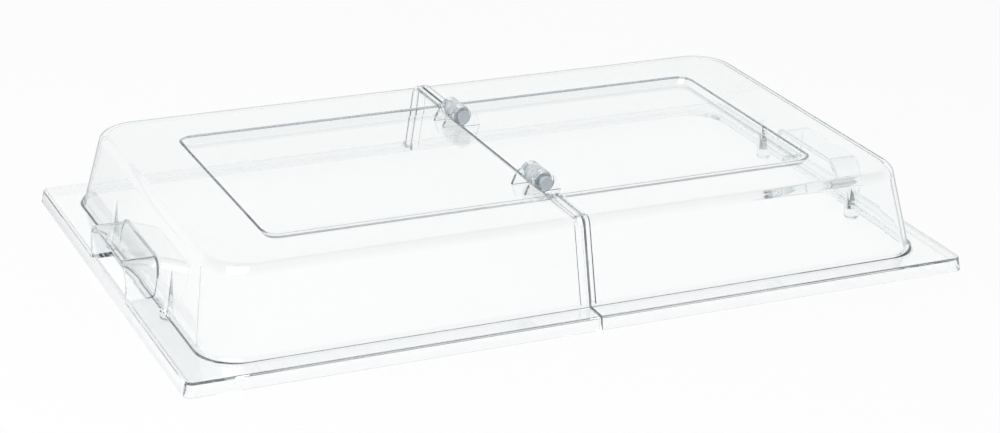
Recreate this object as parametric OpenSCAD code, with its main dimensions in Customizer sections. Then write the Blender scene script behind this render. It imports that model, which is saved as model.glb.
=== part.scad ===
// Hinged clear dome cover for a full-size buffet pan
// Both halves are one moulding, used twice: the right half is the left half turned half round.
// X runs along the length, Y to the back, Z up, with the origin under the middle at the skirt's lower edge.

/* [Footprint] */
// Overall length at the lower edge of the skirt
cover_length = 530; // [420:1:600]
// Overall width at the lower edge of the skirt
cover_width = 325; // [280:1:400]
// Height of the flange's top face above the skirt's lower edge
flange_z = 9; // [7:0.5:14]
// How far the skirt leans out at its lower edge
skirt_flare = 1.3; // [0:0.1:2.5]
// Plan radius of the flange's corners
flange_corner_r = 5; // [4:0.5:15]
// Rounding of the flange's outer edge
edge_r = 0.8; // [0.3:0.1:1.5]

/* [Dome] */
// Wall thickness of the moulding
wall = 2.5; // [2:0.1:3]
// Height of the top band
dome_z = 62.4; // [50:0.1:90]
// Flange width at the two ends, from skirt to wall
end_flange = 16; // [13:0.5:20]
// Flange width at the front and back, from skirt to wall
side_flange = 14; // [11:0.5:18]
// How far an end wall leans in between its foot and the top
end_lean = 12.7; // [9:0.1:24]
// How far a side wall leans in between its foot and the top
side_lean = 18; // [10:0.1:26]
// Plan radius of the dome's corners at the foot
foot_corner_r = 30; // [24:1:40]
// Plan radius of the dome's corners at the top
top_corner_r = 26; // [18:1:34]
// Fillet where the wall meets the flange
foot_fillet_r = 4.4; // [2:0.1:6]
// Rounding between wall and top band
top_round_r = 6; // [4:0.5:10]

/* [Top panel] */
// Length of the recessed panel across both halves
panel_length = 380; // [300:1:400]
// Width of the recessed panel
panel_width = 176; // [160:1:200]
// Depth of the panel below the band
panel_depth = 4.4; // [3:0.1:5]
// Width of the slope around the panel
panel_slope = 3.4; // [2:0.1:5]
// Plan radius of the panel's corners
panel_corner_r = 10; // [7:0.5:25]

/* [Joint between the halves] */
// Gap between the two halves
joint_gap = 1.8; // [1:0.1:2.4]
// How much further back each joint face stands at the skirt than at the top, so that it clears when folded
joint_relief = 0.4; // [0.1:0.05:1]
// Width of the raised rim beside the gap
rim_width = 2.5; // [1.5:0.1:5]
// Height of the rim above the wall
rim_height = 1.2; // [0.5:0.1:2]
// Width of the rim's soft side, at one end of the gap
rim_ramp = 2.8; // [1:0.1:5]
// Width of the rim's crisp side, at the other end of the gap
rim_step = 0.4; // [0.2:0.1:1]

/* [Finger hood] */
// Width of the hood along the end wall
hood_width = 79; // [70:1:100]
// Height of the hood's roof above the flange
hood_height = 23.2; // [20:0.1:30]
// Radius of the hood's upper corners
hood_corner_r = 11; // [6:0.5:16]
// Height of the sill that the skirt leaves across the mouth, below the flange's top
hood_sill_drop = 1.2; // [0.5:0.1:2.5]

/* [Locating posts] */
// Distance between the two posts of one end
post_spacing = 118; // [100:1:150]
// Radius of a post
post_r = 5; // [4:0.1:7]
// How far a post stands in from the wall's foot line, to its middle
post_inset = 6; // [5:0.1:8]
// Height of a post's tip above the skirt's lower edge
post_tip_z = 0.6; // [0.2:0.1:3]
// Length of a post's rounded tip
post_tip_length = 3.6; // [2:0.1:6]

/* [Hinges] */
// Distance between the middles of the two hinges
hinge_spacing = 129; // [110:1:140]
// Height of the hinge axis above the panel
axis_rise = 7.5; // [7:0.1:9]
// Distance between the middles of the outer ears of one hinge
fork_span = 20; // [17:0.5:24]
// Thickness of an ear
ear_thickness = 2.4; // [1.8:0.1:3]
// Outer radius of an ear's eye
eye_r = 6.7; // [5.5:0.1:6.9]
// Length of an ear's foot on the panel, from the hinge axis
ear_foot = 13.5; // [11:0.1:18]
// How far an ear's shoulder stands out from the hinge axis
shoulder_out = 9.7; // [8:0.1:10.8]
// Height of an ear's shoulder above the panel
shoulder_rise = 8.2; // [7:0.1:9.4]
// Side clearance between neighbouring hinge pieces
side_clearance = 0.3; // [0.2:0.05:0.5]
// Diameter of the pin
pin_d = 5; // [4:0.1:6]
// Radial clearance of the pin in its bores
pin_clearance = 0.06; // [0.03:0.01:0.1]
// Outer diameter of the barrel
barrel_d = 13; // [11:0.1:13.4]
// Rounding of the barrel's ends
barrel_edge_r = 0.6; // [0.3:0.1:1]
// Diameter of the pin's head and of its cap
head_d = 8.4; // [7:0.1:10]
// Thickness of the pin's head
head_thickness = 1.6; // [1:0.1:2.5]
// Length of the cap
cap_length = 3.2; // [2.5:0.1:5]
// Thickness of the cap's closed end
cap_end = 1.2; // [0.8:0.1:2]

/* [Hidden] */
$fn = 64;

// Overrun of every cut
overrun = 1;
// Turn of the left half into the right half
half_turn = 180;
// Facets around one plan corner, one rounding and one fillet
corner_steps = 5;
round_steps = 3;
fillet_steps = 2;

// Half sizes of the footprint, and of the wall's foot and top at an end and at a side
skirt_x = cover_length / 2;
skirt_y = cover_width / 2;
foot_x = skirt_x - end_flange;
foot_y = skirt_y - side_flange;
top_x = foot_x - end_lean;
top_y = foot_y - side_lean;
panel_x = panel_length / 2;
panel_y = panel_width / 2;
panel_z = dome_z - panel_depth;
axis_z = panel_z + axis_rise;
gap_x = joint_gap / 2;

// Centre heights of the rounding under the band and of the fillet above the flange
round_z = dome_z - top_round_r;
fillet_z = flange_z + foot_fillet_r;

// Lean of a wall from upright, tangent to the foot fillet and aimed at the top
function wall_lean(foot, top) =
    let (in = foot - top, up = dome_z - fillet_z)
    atan2(in, up) - asin(foot_fillet_r / norm([in, up]));

lean_x = wall_lean(foot_x, top_x);
lean_y = wall_lean(foot_y, top_y);

// Half size of the rounding's centre, for a wall that leans and is aimed at the top
function round_centre(top, lean) =
    top + tan(lean) * top_round_r * (1 - sin(lean)) - top_round_r * cos(lean);

round_x = round_centre(top_x, lean_x);
round_y = round_centre(top_y, lean_y);

// A ring of the shell: half length, half width, corner radius, height at the ends and at the sides,
// and the outward and upward share of the joint rim's height
function ring(x, y, r, z_end, z_side, rim_out = 0, rim_up = 0) = [x, y, r, z_end, z_side, rim_out, rim_up];

function flat_ring(inset, x, y, r, z, rim_up = 0) = ring(x - inset, y - inset, r - inset, z, z, 0, rim_up);

// Ring on the rounding under the band, share 0 at the band and 1 at the wall
function round_ring(r, share, rim) =
    let (a_x = 90 - share * (90 - lean_x), a_y = 90 - share * (90 - lean_y), x = round_x + r * cos(a_x))
    ring(
        x,
        round_y + r * cos(a_y),
        top_corner_r + x - top_x,
        round_z + r * sin(a_x),
        round_z + r * sin(a_y),
        rim * cos(a_y),
        rim * sin(a_y)
    );

// Ring on the fillet above the flange, share 0 at the wall and 1 at the flange
function fillet_ring(r, share, rim) =
    let (a_x = lean_x + share * (90 - lean_x), a_y = lean_y + share * (90 - lean_y), x = foot_x - r * cos(a_x))
    ring(
        x,
        foot_y - r * cos(a_y),
        foot_corner_r + x - foot_x,
        fillet_z - r * sin(a_x),
        fillet_z - r * sin(a_y),
        rim * (1 - share) * cos(a_y),
        rim * (1 - share) * sin(a_y)
    );

// Offset of the panel's slope to the underside of the wall
slope_offset = wall * tan(atan2(panel_depth, panel_slope) / 2);
upper_x = skirt_x - skirt_flare;
upper_y = skirt_y - skirt_flare;

outer_rings = concat(
    [
        flat_ring(panel_slope, panel_x, panel_y, panel_corner_r, panel_z),
        flat_ring(0, panel_x, panel_y, panel_corner_r, dome_z, 1),
    ],
    [for (k = [0 : round_steps]) round_ring(top_round_r, k / round_steps, 1)],
    [for (k = [0 : fillet_steps]) fillet_ring(foot_fillet_r, k / fillet_steps, 1)],
    [
        flat_ring(edge_r, upper_x, upper_y, flange_corner_r, flange_z),
        flat_ring(0, upper_x, upper_y, flange_corner_r, flange_z - edge_r),
        flat_ring(0, skirt_x, skirt_y, flange_corner_r, 0),
    ]
);
inner_rings = concat(
    [
        flat_ring(wall, skirt_x, skirt_y, flange_corner_r, 0),
        flat_ring(wall, upper_x, upper_y, flange_corner_r, flange_z - wall),
    ],
    [for (k = [fillet_steps : -1 : 0]) fillet_ring(foot_fillet_r + wall, k / fillet_steps, 0)],
    [for (k = [round_steps : -1 : 0]) round_ring(top_round_r - wall, k / round_steps, 0)],
    [
        flat_ring(-slope_offset, panel_x, panel_y, panel_corner_r, dome_z - wall),
        flat_ring(panel_slope - slope_offset, panel_x, panel_y, panel_corner_r, panel_z - wall),
    ]
);
rings = concat(outer_rings, inner_rings);

// Points of one ring of the left half, from the front of the joint round the end to the back of the joint
rim_lifts = [1, 1, 0];
front_stations = [gap_x, gap_x + rim_width, gap_x + rim_width + rim_ramp];
back_stations = [gap_x, gap_x + rim_width, gap_x + rim_width + rim_step];

function rim_point(q, side, x, lift) =
    let (z = q[4] + rim_height * lift * q[6])
    [-x - joint_relief * (1 - z / dome_z), side * (q[1] + rim_height * lift * q[5]), z];

function corner_point(q, side, a) =
    [
        -(q[0] - q[2]) + q[2] * cos(a),
        side * (q[1] - q[2] + q[2] * sin(a)),
        q[3] * cos(a) ^ 2 + q[4] * sin(a) ^ 2,
    ];

function ring_points(q) =
    concat(
        [for (k = [0 : 2]) rim_point(q, -1, front_stations[k], rim_lifts[k])],
        [for (k = [0 : corner_steps]) corner_point(q, -1, 90 + 90 * k / corner_steps)],
        [for (k = [0 : corner_steps]) corner_point(q, 1, 180 - 90 * k / corner_steps)],
        [for (k = [2 : -1 : 0]) rim_point(q, 1, back_stations[k], rim_lifts[k])]
    );

// Shell of the left half, lofted through its rings and closed along the joint
module half_shell() {
    end = len(rings) - 1;
    last = len(ring_points(rings[0])) - 1;
    function at(i, j) = i * (last + 1) + j;
    polyhedron(
        points = [for (q = rings) each ring_points(q)],
        faces = concat(
            [
                for (i = [0 : end - 1], j = [0 : last - 1])
                    each [
                        [at(i, j), at(i + 1, j), at(i + 1, j + 1)],
                        [at(i, j), at(i + 1, j + 1), at(i, j + 1)],
                    ]
            ],
            [
                for (j = [0 : last / 2 - 1])
                    each [
                        [at(0, j), at(0, j + 1), at(0, last - j - 1), at(0, last - j)],
                        [at(end, last - j), at(end, last - j - 1), at(end, j + 1), at(end, j)],
                    ]
            ],
            [
                [for (i = [end : -1 : 0]) at(i, 0)],
                [for (i = [0 : end]) at(i, last)],
                [at(0, 0), at(0, last), at(end, last), at(end, 0)],
            ]
        )
    );
}

// Everything inside the end wall, up to a depth under its outer face
module inside_end(depth) {
    profile = concat(
        [for (k = [0 : round_steps]) round_ring(top_round_r - depth, k / round_steps, 0)],
        [for (k = [0 : fillet_steps]) fillet_ring(foot_fillet_r + depth, k / fillet_steps, 0)]
    );
    rotate([90, 0, 0])
        linear_extrude(cover_width, center = true)
            polygon(
                concat(
                    [[0, -overrun], [0, dome_z - depth]],
                    [for (q = profile) [-q[0], q[3]]],
                    [[-foot_x, -overrun]]
                )
            );
}

// Solid under an arched outline with rounded upper corners, along X
module arch(x, length, width, bottom, top, r) {
    translate([x, 0, 0])
        rotate([90, 0, 90])
            linear_extrude(length) {
                translate([-width / 2, bottom])
                    square([width, top - r - bottom]);
                translate([r - width / 2, bottom])
                    square([width - 2 * r, top - bottom]);
                for (side = [-1, 1])
                    translate([side * (width / 2 - r), top - r])
                        circle(r);
            }
}

mouth_x = upper_x - edge_r / 4;
sill_z = flange_z - hood_sill_drop;
hood_z = flange_z + hood_height;
pocket_width = hood_width - 2 * wall;

// Hood over the finger pocket, open outwards and below
module finger_hood() {
    difference() {
        arch(-mouth_x, mouth_x, hood_width, flange_z - wall / 2, hood_z, hood_corner_r);
        arch(-mouth_x - overrun, mouth_x, pocket_width, 0, hood_z - wall, hood_corner_r - wall);
        inside_end(wall / 2);
    }
}

// Cut through the flange under the hood, which leaves the skirt as a sill
module finger_cut() {
    sill_in = upper_x - wall - edge_r;
    floor_in = foot_x + edge_r;
    translate([-skirt_x - overrun, -pocket_width / 2, sill_z])
        cube([skirt_x + overrun - floor_in, pocket_width, hood_sill_drop + overrun]);
    translate([-sill_in, -pocket_width / 2, flange_z - wall - overrun])
        cube([sill_in - floor_in, pocket_width, wall + 2 * overrun]);
}

// Post with flat sides that drops inside the pan's rim and keeps the cover from sliding
post_sides = 12;

module locating_post(side) {
    tip_share = 0.4;
    intersection() {
        translate([post_inset - foot_x, side * post_spacing / 2, post_tip_z]) {
            cylinder(h = post_tip_length, r1 = post_r * tip_share, r2 = post_r, $fn = post_sides);
            translate([0, 0, post_tip_length])
                cylinder(h = round_z - post_tip_z - post_tip_length, r = post_r, $fn = post_sides);
        }
        inside_end(wall / 2);
    }
}

// Where a line from the ear's shoulder runs into its eye, aimed a little inside the eye's edge
aim_share = 0.96;
aim_r = eye_r * aim_share;
shoulder_up = shoulder_rise - axis_rise;
shoulder_reach = norm([shoulder_out, shoulder_up]);
aim_a = 180 - atan2(shoulder_up, shoulder_out) - acos(aim_r / shoulder_reach);

// How far an ear's toe stands back from the hinge axis
ear_toe = gap_x + rim_step;

// Hinge ear of the left half, with its foot sunk half the wall into the panel
module ear(y) {
    translate([0, y + ear_thickness / 2, axis_z])
        rotate([90, 0, 0]) {
            linear_extrude(ear_thickness)
                polygon(
                    [
                        [-ear_foot, -axis_rise],
                        [-shoulder_out, shoulder_up],
                        aim_r * [cos(aim_a), sin(aim_a)],
                        [0, 0],
                        [-ear_toe, -axis_rise],
                        [-ear_toe, -axis_rise - wall / 2],
                        [-ear_foot, -axis_rise - wall / 2],
                    ]
                );
            cylinder(h = ear_thickness, r = eye_r);
        }
}

// Bar along the hinge axis, between two distances along Y
module axis_bar(from, to, r) {
    translate([0, to, axis_z])
        rotate([90, 0, 0])
            cylinder(h = to - from, r = r);
}

hinge_y = hinge_spacing / 2;
outer_ear = fork_span / 2;
inner_ear = outer_ear - ear_thickness - side_clearance;
fork_end = outer_ear + ear_thickness / 2;
bore_r = pin_d / 2 + pin_clearance;

module half_cover() {
    difference() {
        union() {
            difference() {
                half_shell();
                finger_cut();
            }
            finger_hood();
            for (side = [-1, 1]) {
                locating_post(side);
                ear(-hinge_y + side * outer_ear);
                ear(hinge_y + side * inner_ear);
            }
        }
        axis_bar(-hinge_y - fork_end - overrun, -hinge_y + fork_end + overrun, bore_r);
        axis_bar(hinge_y - fork_end - overrun, hinge_y + fork_end + overrun, bore_r);
    }
}

// Sleeve between the inner ears of the back hinge, with rounded edges
module hinge_barrel() {
    half = inner_ear - ear_thickness / 2 - side_clearance / 2;
    r = barrel_d / 2;
    translate([0, hinge_y, axis_z])
        rotate([90, 0, 0])
            rotate_extrude() {
                translate([bore_r, -half])
                    square([r - barrel_edge_r - bore_r, 2 * half]);
                translate([bore_r, barrel_edge_r - half])
                    square([r - bore_r, 2 * (half - barrel_edge_r)]);
                for (end = [-1, 1])
                    translate([r - barrel_edge_r, end * (half - barrel_edge_r)])
                        circle(barrel_edge_r);
            }
}

// Pin of the back hinge, with its head on the inner side and a bare end for the cap
pin_end = fork_end + side_clearance + cap_length - cap_end;

module hinge_pin() {
    head_from = hinge_y - fork_end - side_clearance - head_thickness;
    axis_bar(head_from, head_from + head_thickness, head_d / 2);
    axis_bar(head_from, hinge_y + pin_end, pin_d / 2);
}

// Cap pushed on the bare end of the back pin
module pin_cap() {
    from = hinge_y + fork_end + side_clearance;
    difference() {
        axis_bar(from, from + cap_length, head_d / 2);
        axis_bar(from - overrun, hinge_y + pin_end, pin_d / 2);
    }
}

clear_colour = [0.86, 0.91, 0.94, 0.35];
frosted_colour = [0.74, 0.78, 0.81, 0.9];
pin_colour = [0.84, 0.87, 0.89, 0.9];

module left_cover() {
    color(clear_colour)
        half_cover();
}

module right_cover() {
    color(clear_colour)
        rotate(half_turn)
            half_cover();
}

module back_hinge_barrel() {
    color(frosted_colour)
        hinge_barrel();
}

module front_hinge_barrel() {
    color(frosted_colour)
        rotate(half_turn)
            hinge_barrel();
}

module back_hinge_pin() {
    color(pin_colour)
        hinge_pin();
}

module front_hinge_pin() {
    color(pin_colour)
        rotate(half_turn)
            hinge_pin();
}

module back_pin_cap() {
    color(pin_colour)
        pin_cap();
}

module front_pin_cap() {
    color(pin_colour)
        rotate(half_turn)
            pin_cap();
}

left_cover();
right_cover();
front_hinge_barrel();
back_hinge_barrel();
front_hinge_pin();
back_hinge_pin();
front_pin_cap();
back_pin_cap();
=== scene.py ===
# Hinged clear dome cover for a full-size buffet pan, dressed for its picture

import math
from collections import namedtuple

import bpy
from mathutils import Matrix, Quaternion, Vector


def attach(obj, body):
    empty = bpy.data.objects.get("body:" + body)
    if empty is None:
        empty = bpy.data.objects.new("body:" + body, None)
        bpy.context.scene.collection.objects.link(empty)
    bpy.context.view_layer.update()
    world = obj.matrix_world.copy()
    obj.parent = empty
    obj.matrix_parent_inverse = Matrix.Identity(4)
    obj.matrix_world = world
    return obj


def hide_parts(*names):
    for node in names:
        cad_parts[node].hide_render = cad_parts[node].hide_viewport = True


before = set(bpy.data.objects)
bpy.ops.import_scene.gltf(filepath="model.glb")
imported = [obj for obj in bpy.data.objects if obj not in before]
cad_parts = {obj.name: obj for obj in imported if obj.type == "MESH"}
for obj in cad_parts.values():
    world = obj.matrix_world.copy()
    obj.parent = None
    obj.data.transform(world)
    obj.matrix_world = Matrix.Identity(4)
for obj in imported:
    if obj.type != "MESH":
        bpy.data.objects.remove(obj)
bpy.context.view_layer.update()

# Main sizes of the moulding in millimetres
MM = 0.001
WALL = 2.5
JOINT_X = 0.9
FLANGE_Z = 9.0
BAND_Z = 62.4
PANEL_Z = 58.0
AXIS_Z = 65.5
END_LEAN = math.radians(9.54)
RIM_HEIGHT = 1.2
RIM_FOOT_Z = 10.0

# Rim beside the joint at the front and the back: place of each line, and share of the rim's height there
RIM_PROFILES = (
    (-1, ((6.2, 0.0), (6.0, 0.45), (4.4, 0.85), (3.4, 1.0))),
    (1, ((4.7, 0.0), (4.25, -0.9), (3.8, -0.9), (3.4, 1.0))),
)

# Outlines of the shell: half length, half width, corner radius and height
Outline = namedtuple("Outline", "x y r z")
PANEL_FLOOR = Outline(186.6, 84.6, 6.6, PANEL_Z)
PANEL_EDGE = Outline(190.0, 88.0, 10.0, BAND_Z)
WALL_TOP = Outline(236.3, 130.5, 26.0, BAND_Z)
WALL_FOOT = Outline(245.27, 145.14, 26.3, FLANGE_Z)
FLANGE_EDGE = Outline(263.7, 161.2, 5.0, FLANGE_Z)
SKIRT_EDGE = Outline(265.0, 162.5, 5.0, 0.0)
OUTSIDE = [PANEL_FLOOR, PANEL_EDGE, WALL_TOP, WALL_FOOT, FLANGE_EDGE, SKIRT_EDGE]
TAPER_FOOT = Outline(264.1, 161.6, 4.1, 0.0)
TAPER_TOP = Outline(261.82, 159.32, 2.5, 3.4)
SKIRT_TOP = Outline(261.2, 158.7, 2.5, FLANGE_Z - WALL)
INNER_FOOT = Outline(243.15, 143.23, 23.8, FLANGE_Z - WALL)
INNER_TOP = Outline(234.19, 128.59, 23.5, BAND_Z - WALL)
INNER_EDGE = Outline(191.23, 89.23, 11.23, BAND_Z - WALL)
INNER_FLOOR = Outline(187.83, 85.83, 7.83, PANEL_Z - WALL)
INSIDE = [
    SKIRT_EDGE,
    TAPER_FOOT,
    TAPER_TOP,
    SKIRT_TOP,
    INNER_FOOT,
    INNER_TOP,
    INNER_EDGE,
    INNER_FLOOR,
]
CORNER_STEPS = 10

# Points nearer to the joint than this end an outline there, and the others go round its corners
JOINT_STRIP = 10.0

# Lines between two outlines of one height, which tell their points apart
BAND_LINE = Outline(213.0, 109.0, 18.0, BAND_Z)
PANEL_LINE = Outline(150.0, 60.0, 6.0, PANEL_Z)
FLANGE_LINE = Outline(254.0, 152.0, 15.0, FLANGE_Z)
SKIRT_LINE = Outline(264.55, 162.05, 4.55, 0.0)

# Roundings: width in millimetres and number of steps
Rounding = namedtuple("Rounding", "width steps")
TOP_ROUND = Rounding(4.8, 8)
TOP_ROUND_INSIDE = Rounding(4.8, 6)
FOOT_FILLET = Rounding(3.5, 6)
FOOT_ROUND_INSIDE = Rounding(0.6, 3)
PANEL_ROUND = Rounding(0.25, 2)
FLANGE_ROUND = Rounding(0.8, 3)
SKIRT_ROUND = Rounding(0.3, 2)
JOINT_ROUND = Rounding(0.15, 2)
HOOD_CORNER = Rounding(11.0, 12)
HOOD_FILLET = Rounding(1.6, 4)
MOUTH_CHAMFER = Rounding(0.4, 1)
POST_TIP_ROUND = Rounding(2.6, 5)

# Leaning end wall: the way it faces, a point on its face and one in the middle of its thickness
END_OUTWARD = Vector((-math.cos(END_LEAN), 0.0, math.sin(END_LEAN)))
END_FACE = Vector((-WALL_FOOT.x, 0.0, FLANGE_Z))
END_MIDDLE = END_FACE - END_OUTWARD * WALL / 2

# Finger hood over its slot and sill
HOOD_WIDTH = 79.0
HOOD_TOP = 32.2
HOOD_BOTTOM = FLANGE_Z - WALL / 2
HOOD_DEPTH = 30.0
HOOD_FILLET_FROM = 13.5
MOUTH_X = 263.2
SLOT_IN = 249.8
SLOT_OUT = 260.4
SILL_Z = 7.8

# Locating posts
POST_X = 243.0
POST_Y = 59.0
POST_R = 5.0
POST_TIP_Z = 0.6
POST_UPPER_FROM = 5.0
POST_UPPER_TO = 52.0

# Hinge ears: how far the foot reaches from the axis, and how the plate's two upper corners move
HINGE_Y = 64.5
OUTER_EAR = 10.0
INNER_EAR = 7.3
EAR_THICKNESS = 2.4
EAR_HEEL = 13.5
EAR_TOE = 1.3
EAR_HEEL_MOVE = Vector((3.8, 0.0, 0.7))
EAR_TOE_MOVE = Vector((0.0, 0.0, 6.2))
EYE_R = 6.7
BORE_R = 2.56
EYE_SIDES = 64
BAR_SIDES = 48

# Working distances in millimetres: two slacks for picking points by their place, a gap that keeps two faces
# from falling on each other, the overrun of a cut, and the distance at which doubles merge
SLACK = 0.05
FINE_SLACK = 0.02
FACE_GAP = 0.02
OVERRUN = 1.0
MERGE = 0.002

# Shading: the angle up to which edges are smooth, and how much more large faces count
SMOOTH_ANGLE = math.radians(32.0)
NORMAL_WEIGHT = 50

# Camera, fitted to the photograph, in millimetres and degrees
CAMERA_PLACE = Vector((-628.41, -1348.19, 619.34))
CAMERA_AIM = Vector((-13.374, -39.45, 30.0))
CAMERA_ROLL = 1.918
SENSOR_WIDTH = 36.0
LENS = 86.79

# Studio in millimetres and watts
TABLE_SIDE = 12000.0
TABLE_GAP = 0.05
LAMP_PLACE = Vector((-600.0, -500.0, 1600.0))
LAMP_AIM = Vector((0.0, 0.0, 50.0))
LAMP_ACROSS = 1200.0
LAMP_POWER = 14.0

# Light that is caught in the clear walls needs many turns before it comes out again
BOUNCES = 128

# Place of the colour among the outputs of a Mix node
MIX_COLOUR = 2


def rest():
    """Goes back to object mode with nothing selected."""
    if bpy.context.mode != "OBJECT":
        bpy.ops.object.mode_set(mode="OBJECT")
    bpy.ops.object.select_all(action="DESELECT")


def make_active(piece):
    """Selects one piece alone."""
    rest()
    bpy.context.view_layer.objects.active = piece
    piece.select_set(True)


def clear_selection(piece, kind):
    """Deselects the whole mesh of a piece, with the kind of element that is selected next."""
    rest()
    bpy.context.view_layer.objects.active = piece
    bpy.ops.object.mode_set(mode="EDIT")
    bpy.ops.mesh.select_mode(type=kind)
    bpy.ops.mesh.select_all(action="DESELECT")
    bpy.ops.object.mode_set(mode="OBJECT")


def select(piece, kind, test):
    """Selects in edit mode the elements of a piece whose points all pass a test in millimetres."""
    clear_selection(piece, kind)
    mesh = piece.data
    passed = [test(v.co / MM) for v in mesh.vertices]
    if kind == "VERT":
        for v in mesh.vertices:
            v.select = passed[v.index]
    else:
        for part in mesh.edges if kind == "EDGE" else mesh.polygons:
            part.select = all(passed[i] for i in part.vertices)
    bpy.ops.object.mode_set(mode="EDIT")


def select_points(piece, points, kind="VERT"):
    """Selects in edit mode the vertices with these numbers, or the edges between them."""
    numbers = set(points)
    clear_selection(piece, "VERT")
    for v in piece.data.vertices:
        v.select = v.index in numbers
    bpy.ops.object.mode_set(mode="EDIT")
    bpy.ops.mesh.select_mode(type=kind)


def keep(piece, name):
    """Names a new primitive and puts its place, turn and size into its mesh."""
    piece.name = name
    bpy.ops.object.transform_apply(location=True, rotation=True, scale=True)
    return piece


def add_plate(name, middle, size, turn=(0.0, 0.0, 0.0)):
    """Adds a flat plate of a size in millimetres round its middle."""
    rest()
    bpy.ops.mesh.primitive_plane_add(size=1.0, location=Vector(middle) * MM, rotation=turn)
    piece = bpy.context.object
    piece.scale = Vector((*size, 1.0)) * MM
    return keep(piece, name)


def add_block(name, low, high):
    """Adds a block between two corners in millimetres."""
    rest()
    bpy.ops.mesh.primitive_cube_add(size=1.0, location=(Vector(low) + Vector(high)) / 2 * MM)
    piece = bpy.context.object
    piece.scale = (Vector(high) - Vector(low)) * MM
    return keep(piece, name)


def add_bar(name, start, end, radius, sides):
    """Adds a round bar between two points in millimetres."""
    rest()
    along = (Vector(end) - Vector(start)) * MM
    bpy.ops.mesh.primitive_cylinder_add(
        vertices=sides,
        radius=radius * MM,
        depth=along.length,
        location=(Vector(start) + Vector(end)) / 2 * MM,
        rotation=along.to_track_quat("Z", "Y").to_euler(),
    )
    return keep(bpy.context.object, name)


def apply(piece, kind, **settings):
    """Adds a modifier with its settings and applies it."""
    make_active(piece)
    bpy.ops.object.modifier_add(type=kind)
    modifier = piece.modifiers[-1]
    for name, value in settings.items():
        setattr(modifier, name, value)
    bpy.ops.object.modifier_apply(modifier=modifier.name)


def combine(piece, tool, operation):
    """Joins a closed piece to another or cuts it out, and removes it."""
    apply(piece, "BOOLEAN", object=tool, operation=operation, solver="EXACT")
    rest()
    tool.select_set(True)
    bpy.ops.object.delete()


def near(a, b, slack=SLACK):
    """Tells whether two places are the same within a slack."""
    return abs(a - b) < slack


def beyond(p, line):
    """Tells whether a point lies outside a rounded outline, seen from above."""
    along = max(abs(p.x) - line.x + line.r, 0.0)
    across = max(abs(p.y) - line.y + line.r, 0.0)
    return math.hypot(along, across) > line.r


def round_edges(piece, test, rounding):
    """Rounds the edges of a piece whose points all pass a test."""
    select(piece, "EDGE", test)
    bpy.ops.mesh.bevel(offset=rounding.width * MM, segments=rounding.steps)


def round_corners(piece, test, rounding):
    """Rounds the corners of a flat plate that pass a test."""
    select(piece, "VERT", test)
    bpy.ops.mesh.bevel(affect="VERTICES", offset=rounding.width * MM, segments=rounding.steps)


def turn_outward():
    """Turns all faces of the piece in hand outwards."""
    bpy.ops.mesh.select_all(action="SELECT")
    bpy.ops.mesh.normals_make_consistent(inside=False)


def close_face(piece, test):
    """Makes one face from the points that pass a test."""
    select(piece, "VERT", test)
    bpy.ops.mesh.edge_face_add()


def grow(piece, old, new):
    """Extrudes the selected edges of one outline and moves the copy to the next outline."""
    bpy.ops.mesh.extrude_edges_move()
    bpy.ops.object.mode_set(mode="OBJECT")
    chain = {v.index: v.co.copy() for v in piece.data.vertices if v.select}
    for side in (-1, 1):
        here = {i: co for i, co in chain.items() if co.y * side > 0}
        middle = Vector((old.r - old.x, side * (old.y - old.r), old.z)) * MM
        shift = Vector((new.r - new.x, side * (new.y - new.r), new.z)) * MM - middle
        select_points(piece, [i for i, co in here.items() if co.x < -JOINT_STRIP * MM])
        share = new.r / old.r
        bpy.ops.transform.resize(value=(share, share, 1.0), center_override=middle)
        bpy.ops.transform.translate(value=shift)
        select_points(piece, [i for i, co in here.items() if co.x >= -JOINT_STRIP * MM])
        bpy.ops.transform.translate(value=(0.0, side * (new.y - old.y) * MM, (new.z - old.z) * MM))
    select_points(piece, chain, "EDGE")


def model_outer_skin():
    """Grows the left half's outside from its panel over the band and down to the skirt's edge."""
    floor = PANEL_FLOOR
    piece = add_plate(
        "half_shell",
        middle=((-floor.x - JOINT_X) / 2, 0.0, floor.z),
        size=(floor.x - JOINT_X, 2 * floor.y),
    )
    round_corners(piece, lambda p: p.x < -JOINT_STRIP, Rounding(floor.r, CORNER_STEPS))
    select(piece, "EDGE", lambda p: p.x > -JOINT_STRIP)
    bpy.ops.mesh.select_all(action="INVERT")
    for old, new in zip(OUTSIDE, OUTSIDE[1:]):
        grow(piece, old, new)
    turn_outward()

    # Round the top of the walls and fillet their foot
    round_edges(piece, lambda p: near(p.z, BAND_Z) and beyond(p, BAND_LINE), TOP_ROUND)
    round_edges(piece, lambda p: near(p.z, FLANGE_Z) and not beyond(p, FLANGE_LINE), FOOT_FILLET)
    return piece


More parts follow.
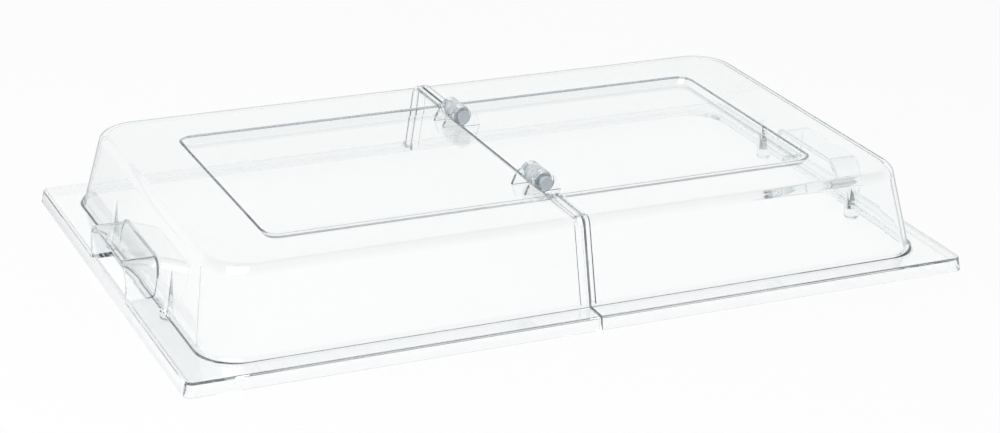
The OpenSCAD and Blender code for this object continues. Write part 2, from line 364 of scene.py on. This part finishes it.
def raise_rims(piece):
    """Raises the rim beside the joint, which is soft at the front and crisp at the back."""
    for side, profile in RIM_PROFILES:
        for x, _ in profile:
            select(piece, "FACE", lambda p: p.y * side > PANEL_FLOOR.y - SLACK)
            bpy.ops.mesh.bisect(plane_co=(-x * MM, 0.0, 0.0), plane_no=(1.0, 0.0, 0.0))

    # Lift line by line: square to the band and the walls, and straight up at the panel's edge
    for side, profile in RIM_PROFILES:
        raised = 0.0
        for x, share in profile[1:]:
            lift = (share - raised) * RIM_HEIGHT * MM
            raised = share
            select(
                piece,
                "VERT",
                lambda p: p.x > -x - SLACK and p.z > RIM_FOOT_Z and p.y * side > PANEL_EDGE.y + SLACK,
            )
            bpy.ops.transform.shrink_fatten(value=lift)
            select(piece, "VERT", lambda p: p.x > -x - SLACK and near(p.y * side, PANEL_EDGE.y))
            bpy.ops.transform.translate(value=(0.0, 0.0, lift))

    # Small roundings of the panel and the flange, while their ends are still open
    panel_edge_from = BAND_Z - RIM_HEIGHT
    round_edges(piece, lambda p: p.z > panel_edge_from and not beyond(p, BAND_LINE), PANEL_ROUND)
    round_edges(piece, lambda p: near(p.z, PANEL_Z) and beyond(p, PANEL_LINE), PANEL_ROUND)
    round_edges(piece, lambda p: near(p.z, FLANGE_Z) and beyond(p, FLANGE_LINE), FLANGE_ROUND)


def model_inner_skin(piece):
    """Grows the inside from the skirt's lower edge back up to the underside of the panel."""
    select(piece, "EDGE", lambda p: near(p.z, SKIRT_EDGE.z))
    for old, new in zip(INSIDE, INSIDE[1:]):
        grow(piece, old, new)
    round_edges(piece, lambda p: near(p.z, INNER_TOP.z) and beyond(p, BAND_LINE), TOP_ROUND_INSIDE)
    round_edges(
        piece,
        lambda p: near(p.z, INNER_FOOT.z) and not beyond(p, FLANGE_LINE),
        FOOT_ROUND_INSIDE,
    )
    round_edges(piece, lambda p: near(p.z, SKIRT_EDGE.z) and beyond(p, SKIRT_LINE), SKIRT_ROUND)
    close_face(piece, lambda p: near(p.z, INNER_FLOOR.z))


def on_panel_joint(p):
    """Tells whether a point is a corner of the panel's thickness at the joint."""
    on_plate = near(p.z, PANEL_FLOOR.z, FINE_SLACK) or near(p.z, INNER_FLOOR.z, FINE_SLACK)
    return on_plate and near(p.x, -JOINT_X) and not beyond(p, BAND_LINE)


def close_joint(piece):
    """Closes the shell with one flat face at the joint and breaks that face's edges."""
    for side in (-1, 1):
        close_face(piece, lambda p: near(p.x, -JOINT_X) and p.y * side > PANEL_LINE.y)
    close_face(piece, on_panel_joint)
    select(piece, "FACE", lambda p: near(p.x, -JOINT_X))
    bpy.ops.mesh.dissolve_faces()
    turn_outward()
    round_edges(piece, lambda p: near(p.x, -JOINT_X), JOINT_ROUND)


def model_hood():
    """Bends an arch over the finger pocket, gives it its wall and cuts it to the leaning end wall."""
    piece = add_plate(
        "hood",
        middle=(-MOUTH_X, 0.0, (HOOD_BOTTOM + HOOD_TOP) / 2),
        size=(HOOD_TOP - HOOD_BOTTOM, HOOD_WIDTH),
        turn=(0.0, math.pi / 2, 0.0),
    )
    round_corners(piece, lambda p: near(p.z, HOOD_TOP), HOOD_CORNER)
    bpy.ops.mesh.select_all(action="SELECT")
    bpy.ops.mesh.delete(type="ONLY_FACE")
    select(piece, "EDGE", lambda p: near(p.z, HOOD_BOTTOM))
    bpy.ops.mesh.delete(type="EDGE")
    bpy.ops.mesh.select_all(action="SELECT")
    bpy.ops.mesh.extrude_edges_move(TRANSFORM_OT_translate={"value": (HOOD_DEPTH * MM, 0.0, 0.0)})
    turn_outward()
    apply(piece, "SOLIDIFY", thickness=WALL * MM, offset=-1.0, use_even_offset=True)
    round_edges(piece, lambda p: near(p.x, -MOUTH_X), MOUTH_CHAMFER)
    bpy.ops.mesh.select_all(action="SELECT")
    bpy.ops.mesh.bisect(
        plane_co=END_MIDDLE * MM,
        plane_no=END_OUTWARD,
        use_fill=True,
        clear_inner=True,
    )
    return piece


def on_hood_seam(p):
    """Tells whether a point lies where the hood's outside meets the end wall, above the wall's fillet."""
    corner = HOOD_CORNER.width
    depth = (p - END_FACE).dot(END_OUTWARD)
    across = max(abs(p.y) - HOOD_WIDTH / 2 + corner, 0.0)
    up = max(p.z - HOOD_TOP + corner, 0.0)
    return near(depth, 0.0) and near(math.hypot(across, up), corner) and p.z > HOOD_FILLET_FROM


def model_post(side):
    """A locating post with a rounded tip, cut off inside the leaning end wall."""
    y = side * POST_Y
    piece = add_bar(
        "post",
        start=(-POST_X, y, POST_TIP_Z),
        end=(-POST_X, y, FLANGE_Z - WALL / 2),
        radius=POST_R,
        sides=BAR_SIDES,
    )
    round_edges(piece, lambda p: near(p.z, POST_TIP_Z), POST_TIP_ROUND)
    upper = add_bar(
        "post_upper",
        start=(-POST_X, y, POST_UPPER_FROM),
        end=(-POST_X, y, POST_UPPER_TO),
        radius=POST_R - FACE_GAP,
        sides=BAR_SIDES,
    )
    select(upper, "VERT", lambda p: True)
    bpy.ops.mesh.bisect(
        plane_co=END_MIDDLE * MM,
        plane_no=END_OUTWARD,
        use_fill=True,
        clear_outer=True,
    )
    combine(piece, upper, "UNION")
    return piece


def model_ear(y):
    """A hinge ear: a plate from its foot on the panel up to a round eye, bored for the pin."""
    low = y - EAR_THICKNESS / 2
    high = y + EAR_THICKNESS / 2
    piece = add_block("ear", (-EAR_HEEL, low, PANEL_Z - WALL / 2), (-EAR_TOE, high, AXIS_Z))
    select(piece, "VERT", lambda p: near(p.x, -EAR_HEEL) and near(p.z, AXIS_Z))
    bpy.ops.transform.translate(value=EAR_HEEL_MOVE * MM)
    select(piece, "VERT", lambda p: near(p.x, -EAR_TOE) and near(p.z, AXIS_Z))
    bpy.ops.transform.translate(value=EAR_TOE_MOVE * MM)
    eye = add_bar("eye", (0.0, low, AXIS_Z), (0.0, high, AXIS_Z), EYE_R, EYE_SIDES)
    combine(piece, eye, "UNION")
    bore_start = (0.0, low - OVERRUN, AXIS_Z)
    bore_end = (0.0, high + OVERRUN, AXIS_Z)
    combine(piece, add_bar("bore", bore_start, bore_end, BORE_R, BAR_SIDES), "DIFFERENCE")
    return piece


def model_half_cover():
    """The left half as one moulding: shell, hood with its slot, posts and hinge ears."""
    cover = model_outer_skin()
    raise_rims(cover)
    model_inner_skin(cover)
    close_joint(cover)

    # Sill in the flange and the finger slot through it, under the hood
    pocket = HOOD_WIDTH / 2 - WALL - FACE_GAP
    inner_corner = (-SLOT_IN, pocket, FLANGE_Z + OVERRUN)
    sill = add_block("sill", (-SKIRT_EDGE.x - OVERRUN, -pocket, SILL_Z), inner_corner)
    combine(cover, sill, "DIFFERENCE")
    slot = add_block("slot", (-SLOT_OUT, -pocket, FLANGE_Z - WALL - OVERRUN), inner_corner)
    combine(cover, slot, "DIFFERENCE")
    combine(cover, model_hood(), "UNION")
    round_edges(cover, on_hood_seam, HOOD_FILLET)
    for side in (-1, 1):
        combine(cover, model_post(side), "UNION")
        combine(cover, model_ear(-HINGE_Y + side * OUTER_EAR), "UNION")
        combine(cover, model_ear(HINGE_Y + side * INNER_EAR), "UNION")
    return cover


def finish_half(cover, name):
    """Merges doubles, smooths the roundings and keeps the flats flat."""
    cover.name = name
    select(cover, "VERT", lambda p: True)
    bpy.ops.mesh.remove_doubles(threshold=MERGE * MM)
    make_active(cover)
    bpy.ops.object.shade_smooth_by_angle(angle=SMOOTH_ANGLE)
    apply(cover, "WEIGHTED_NORMAL", mode="FACE_AREA", weight=NORMAL_WEIGHT, keep_sharp=True)


def colour(hex_value):
    """Linear colour of an sRGB hex value."""
    parts = [int(hex_value[i : i + 2], 16) / 255 for i in (1, 3, 5)]
    return [c / 12.92 if c <= 0.04045 else ((c + 0.055) / 1.055) ** 2.4 for c in parts] + [1.0]


def scale_of(size_mm):
    """Scale of a pattern on Object coordinates whose features have a size in millimetres."""
    return 1.0 / (size_mm * MM)


def node(tree, kind, settings=None, **inputs):
    """Adds a node with its settings, and sets or links its inputs by their names or identifiers."""
    made = tree.nodes.new(kind)
    for name, value in (settings or {}).items():
        setattr(made, name, value)
    for name, value in inputs.items():
        socket = next(s for s in made.inputs if name in (s.identifier, s.name.replace(" ", "_")))
        if isinstance(value, bpy.types.NodeSocket):
            tree.links.new(value, socket)
        else:
            socket.default_value = value
    return made


def new_material(name):
    """A named material with an empty tree of nodes."""
    material = bpy.data.materials.new(name)
    material.use_nodes = True
    material.node_tree.nodes.clear()
    return material, material.node_tree


# Clear polycarbonate, injection moulded and polished: glossy and see-through, with painted shade, a dark
# blue-grey base colour where it is seen edge on, and with the faint long waves that cooling leaves in a
# large flat moulding
def clear_polycarbonate():
    material, tree = new_material("clear_moulded_polycarbonate")
    place = node(tree, "ShaderNodeTexCoord")
    wave_mm = 45.0
    wave = node(
        tree,
        "ShaderNodeTexNoise",
        Vector=place.outputs["Object"],
        Scale=scale_of(wave_mm),
        Detail=1.0,
    )
    bump = node(
        tree,
        "ShaderNodeBump",
        Strength=0.05,
        Distance=0.05 * MM,
        Height=wave.outputs["Fac"],
    )
    # Painted shade: the base colour turns dark blue-grey where the wall is seen edge on, standing in for
    # the dark lines at its bends and edges
    slant = node(tree, "ShaderNodeLayerWeight", Blend=0.5)
    edge = node(
        tree,
        "ShaderNodeMapRange",
        {"interpolation_type": "SMOOTHSTEP"},
        Value=slant.outputs["Facing"],
        From_Min=0.66,
        From_Max=0.84,
    )
    painted_edge_shade = node(
        tree,
        "ShaderNodeMix",
        {"data_type": "RGBA"},
        Factor_Float=edge.outputs["Result"],
        A_Color=colour("#FDFEFE"),
        B_Color=colour("#44545F"),
    )
    shader = node(
        tree,
        "ShaderNodeBsdfPrincipled",
        Base_Color=painted_edge_shade.outputs[MIX_COLOUR],
        Roughness=0.02,
        IOR=1.585,
        Transmission_Weight=1.0,
        Normal=bump.outputs["Normal"],
    )
    shadow = node(tree, "ShaderNodeBsdfTransparent", Color=colour("#F2F5F7"))
    rays = node(tree, "ShaderNodeLightPath")
    mix = node(
        tree,
        "ShaderNodeMixShader",
        Fac=rays.outputs["Is Shadow Ray"],
        Shader=shader.outputs["BSDF"],
        Shader_001=shadow.outputs["BSDF"],
    )
    depth = node(tree, "ShaderNodeVolumeAbsorption", Color=colour("#3F6C7C"), Density=5.0)
    node(
        tree,
        "ShaderNodeOutputMaterial",
        Surface=mix.outputs["Shader"],
        Volume=depth.outputs["Volume"],
    )
    return material


# Frosted polycarbonate, moulded in an etched tool: pale, soft and cloudy, with a grain that is drawn
# coarser than the real one of about 0.1 mm so that it shows
def frosted_polycarbonate():
    material, tree = new_material("frosted_moulded_polycarbonate")
    place = node(tree, "ShaderNodeTexCoord")
    grain_mm = 0.5
    grain = node(
        tree,
        "ShaderNodeTexNoise",
        Vector=place.outputs["Object"],
        Scale=scale_of(grain_mm),
        Detail=2.0,
    )
    rough = node(tree, "ShaderNodeMapRange", Value=grain.outputs["Fac"], To_Min=0.4, To_Max=0.6)
    bump = node(
        tree,
        "ShaderNodeBump",
        Strength=0.3,
        Distance=0.03 * MM,
        Height=grain.outputs["Fac"],
    )
    cloud_mm = 3.5
    cloud = node(
        tree,
        "ShaderNodeTexNoise",
        Vector=place.outputs["Object"],
        Scale=scale_of(cloud_mm),
        Detail=2.0,
    )
    haze = node(
        tree,
        "ShaderNodeMapRange",
        Value=cloud.outputs["Fac"],
        From_Min=0.35,
        From_Max=0.65,
    )
    milk = node(
        tree,
        "ShaderNodeMix",
        {"data_type": "RGBA"},
        Factor_Float=haze.outputs["Result"],
        A_Color=colour("#C3CDD2"),
        B_Color=colour("#F0F4F6"),
    )
    shader = node(
        tree,
        "ShaderNodeBsdfPrincipled",
        Base_Color=milk.outputs[MIX_COLOUR],
        Roughness=rough.outputs["Result"],
        IOR=1.585,
        Transmission_Weight=0.15,
        Normal=bump.outputs["Normal"],
    )
    node(tree, "ShaderNodeOutputMaterial", Surface=shader.outputs["BSDF"])
    return material


# Natural polypropylene, turned or moulded: milky white with a soft, slightly uneven gloss
def natural_polypropylene():
    material, tree = new_material("natural_moulded_polypropylene")
    place = node(tree, "ShaderNodeTexCoord")
    cloud_mm = 2.0
    cloud = node(
        tree,
        "ShaderNodeTexNoise",
        Vector=place.outputs["Object"],
        Scale=scale_of(cloud_mm),
        Detail=2.0,
    )
    rough = node(tree, "ShaderNodeMapRange", Value=cloud.outputs["Fac"], To_Min=0.25, To_Max=0.4)
    shader = node(
        tree,
        "ShaderNodeBsdfPrincipled",
        Base_Color=colour("#CDD5DB"),
        Roughness=rough.outputs["Result"],
        IOR=1.49,
        Transmission_Weight=0.1,
    )
    node(tree, "ShaderNodeOutputMaterial", Surface=shader.outputs["BSDF"])
    return material


# White studio table: almost pure white to the camera and through the clear walls, where a part of it keeps
# the cover's shadow, and a matt white for other light
def white_table():
    material, tree = new_material("white_studio_table")
    rays = node(tree, "ShaderNodeLightPath")
    bent = node(
        tree,
        "ShaderNodeMath",
        {"operation": "MAXIMUM"},
        Value=rays.outputs["Is Glossy Ray"],
        Value_001=rays.outputs["Is Transmission Ray"],
    )
    shown = node(
        tree,
        "ShaderNodeMath",
        {"operation": "MAXIMUM"},
        Value=rays.outputs["Is Camera Ray"],
        Value_001=bent.outputs["Value"],
    )
    lit = node(tree, "ShaderNodeBsdfDiffuse", Color=colour("#F7F8F8"))
    glow = node(tree, "ShaderNodeEmission", Color=colour("#FFFFFF"), Strength=1.0)
    white = node(
        tree,
        "ShaderNodeMixShader",
        Fac=0.85,
        Shader=lit.outputs["BSDF"],
        Shader_001=glow.outputs["Emission"],
    )
    mix = node(
        tree,
        "ShaderNodeMixShader",
        Fac=shown.outputs["Value"],
        Shader=lit.outputs["BSDF"],
        Shader_001=white.outputs["Shader"],
    )
    node(tree, "ShaderNodeOutputMaterial", Surface=mix.outputs["Shader"])
    return material


# Camera where the photograph was taken from
rest()
bpy.ops.object.camera_add(location=CAMERA_PLACE * MM)
camera = bpy.context.object
camera.rotation_mode = "QUATERNION"
aim = (CAMERA_AIM - CAMERA_PLACE).to_track_quat("-Z", "Y")
camera.rotation_quaternion = aim @ Quaternion((0.0, 0.0, 1.0), math.radians(CAMERA_ROLL))
camera.data.sensor_width = SENSOR_WIDTH
camera.data.lens = LENS
bpy.context.scene.camera = camera
bpy.context.scene.view_settings.view_transform = "Standard"
bpy.context.scene.cycles.max_bounces = BOUNCES
bpy.context.scene.cycles.glossy_bounces = BOUNCES
bpy.context.scene.cycles.transmission_bounces = BOUNCES

# The two halves, the right one being the left one turned half round
left_half = model_half_cover()
make_active(left_half)
bpy.ops.object.duplicate()
right_half = bpy.context.object
right_half.rotation_euler = (0.0, 0.0, math.pi)
bpy.ops.object.transform_apply(location=True, rotation=True, scale=True)
finish_half(left_half, "left_half_cover")
finish_half(right_half, "right_half_cover")
clear = clear_polycarbonate()
halves = (
    (left_half, "left_cover", "left_half"),
    (right_half, "right_cover", "right_half"),
)
for piece, cad_node, body in halves:
    piece.data.materials.clear()
    piece.data.materials.append(clear)
    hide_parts(cad_node)
    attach(piece, body)

# Hinge barrels, pins and caps keep their solids
frosted = frosted_polycarbonate()
natural = natural_polypropylene()
for name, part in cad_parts.items():
    if name.endswith("barrel"):
        part.material_slots[0].material = frosted
    if name.endswith("pin") or name.endswith("cap"):
        part.material_slots[0].material = natural

# Table
rest()
bpy.ops.mesh.primitive_plane_add(size=TABLE_SIDE * MM, location=(0.0, 0.0, -TABLE_GAP * MM))
table = bpy.context.object
table.name = "table"
table.data.materials.append(white_table())

# Soft white surroundings that darken upwards
world = bpy.data.worlds.new("studio")
bpy.context.scene.world = world
world.use_nodes = True
sky = world.node_tree
sky.nodes.clear()
ray = node(sky, "ShaderNodeTexCoord")
split = node(sky, "ShaderNodeSeparateXYZ", Vector=ray.outputs["Generated"])
rise = node(
    sky,
    "ShaderNodeMapRange",
    {"interpolation_type": "SMOOTHSTEP"},
    Value=split.outputs["Z"],
    From_Min=0.25,
    From_Max=0.8,
    To_Min=1.0,
    To_Max=0.45,
)
shade = node(
    sky,
    "ShaderNodeBackground",
    Color=colour("#FFFFFF"),
    Strength=rise.outputs["Result"],
)
node(sky, "ShaderNodeOutputWorld", Surface=shade.outputs["Background"])

# One large soft lamp above and to the left
rest()
bpy.ops.object.light_add(type="AREA", location=LAMP_PLACE * MM)
lamp = bpy.context.object
lamp.data.shape = "DISK"
lamp.data.size = LAMP_ACROSS * MM
lamp.data.energy = LAMP_POWER
lamp.rotation_mode = "QUATERNION"
lamp.rotation_quaternion = (LAMP_AIM - LAMP_PLACE).to_track_quat("-Z", "Y")

rest()
